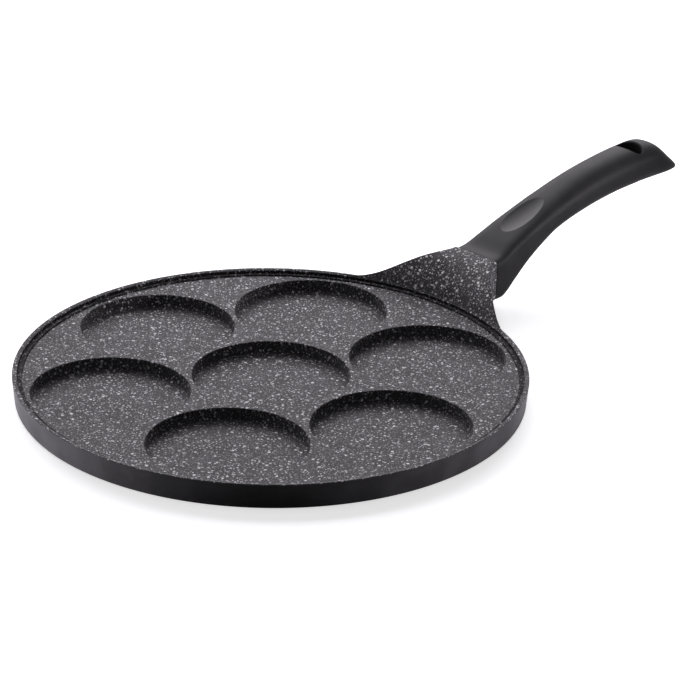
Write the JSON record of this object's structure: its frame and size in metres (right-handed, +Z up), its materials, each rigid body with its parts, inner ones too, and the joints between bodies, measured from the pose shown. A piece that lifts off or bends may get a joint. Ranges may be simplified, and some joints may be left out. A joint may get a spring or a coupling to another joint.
{
  "type": "pancake pan",
  "caption": "Round flat pan with shallow round wells for small pancakes, a speckled coating, a raised rim lip, a cast neck and a curved dark handle with a thumb rest and a hanging hole.",
  "frame": {"origin": "centre of the flat base, on the surface that the pan stands on", "axes": "+Z up out of the wells, +X from the pan's centre along the handle, +Y to the left of the handle"},
  "size_m": [0.4473, 0.26, 0.0591],
  "materials": {
    "stone_coating": "satin dark grey non-stick coating with pale specks on cast aluminium",
    "phenolic": "soft satin black moulded phenolic",
    "steel": "bare stainless steel with a turned or stamped surface"
  },
  "bodies": {
    "root": {"pan_body": "stone_coating", "base_disc": "steel", "handle": "phenolic", "handle_screw": "steel", "spring_washer": "steel"}
  },
  "joints": []
}
